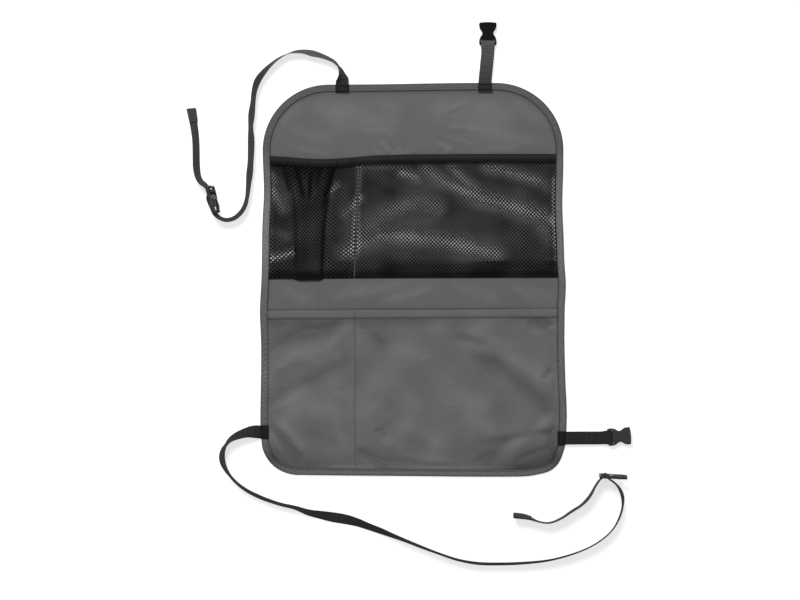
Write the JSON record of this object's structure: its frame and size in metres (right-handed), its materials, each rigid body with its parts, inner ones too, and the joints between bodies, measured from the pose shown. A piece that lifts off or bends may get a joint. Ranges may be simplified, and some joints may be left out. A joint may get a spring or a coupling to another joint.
{
  "type": "seat back protector",
  "caption": "Flat cloth cover for the back of a car seat, with a divided mesh pocket, a divided cloth pocket, a bound edge and webbing straps with side release buckles.",
  "frame": {"origin": "middle of the flat back of the panel, the face that lies against the seat", "axes": "+Y towards the panel's head end, +Z out of its front, +X across it to the side of the short straps"},
  "size_m": [0.6687, 0.815, 0.0298],
  "materials": {
    "grey_cloth": "plain woven synthetic cloth, mid grey",
    "grey_tape": "ribbed binding tape, mid grey",
    "black_net": "knitted net, black",
    "black_elastic": "elastic tape, black",
    "dark_webbing": "woven webbing, dark grey",
    "black_plastic": "moulded, satin black"
  },
  "bodies": {
    "root": {"back_panel": "grey_cloth", "edge_binding": "grey_tape", "mesh_pocket": "black_net", "mesh_pocket_band": "black_elastic", "lower_pocket": "grey_cloth", "upper_long_strap": "dark_webbing", "lower_long_strap": "dark_webbing", "upper_short_strap": "dark_webbing", "lower_short_strap": "dark_webbing", "upper_male_buckle": "black_plastic", "lower_male_buckle": "black_plastic", "upper_female_buckle": "black_plastic", "lower_female_buckle": "black_plastic"}
  },
  "joints": []
}
